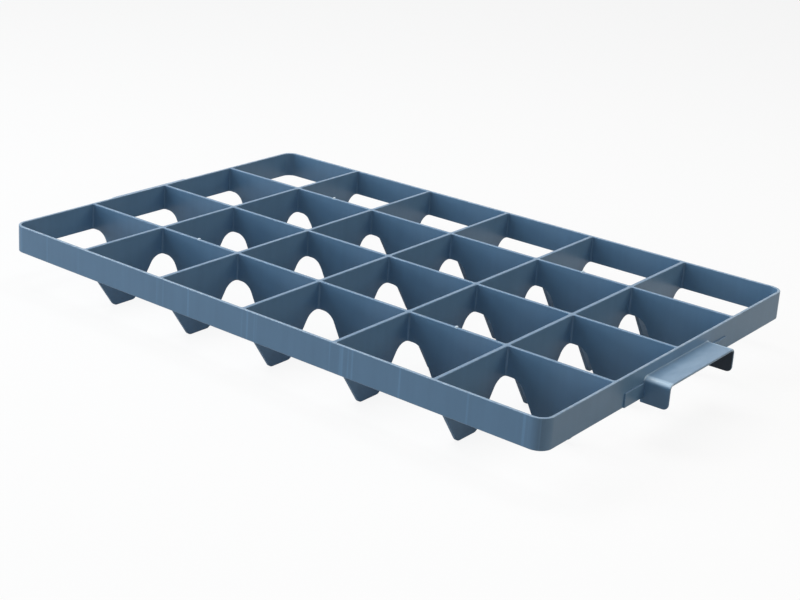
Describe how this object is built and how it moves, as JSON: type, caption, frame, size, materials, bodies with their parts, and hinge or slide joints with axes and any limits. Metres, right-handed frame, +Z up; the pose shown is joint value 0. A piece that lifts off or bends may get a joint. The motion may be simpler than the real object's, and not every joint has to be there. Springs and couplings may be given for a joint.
{
  "type": "divider tray",
  "caption": "Open rectangular divider tray with crossing toothed dividers, bottomless square cells and a ledge lug on each end wall, for standing pots or plugs in a crate.",
  "frame": {"origin": "middle of the tray in plan, at the level of the cross dividers' feet that it stands on", "axes": "+X along the long side, from lug to lug; +Y across; +Z up"},
  "size_m": [0.603, 0.374, 0.0612],
  "materials": {
    "moulded_polypropylene": "blue-grey polypropylene, moulded, satin"
  },
  "bodies": {
    "root": {"rim_frame": "moulded_polypropylene", "long_divider_1": "moulded_polypropylene", "long_divider_2": "moulded_polypropylene", "long_divider_3": "moulded_polypropylene", "cross_divider_1": "moulded_polypropylene", "cross_divider_2": "moulded_polypropylene", "cross_divider_3": "moulded_polypropylene", "cross_divider_4": "moulded_polypropylene", "cross_divider_5": "moulded_polypropylene", "left_lug": "moulded_polypropylene", "right_lug": "moulded_polypropylene", "left_lug_pad": "moulded_polypropylene", "right_lug_pad": "moulded_polypropylene"}
  },
  "joints": []
}
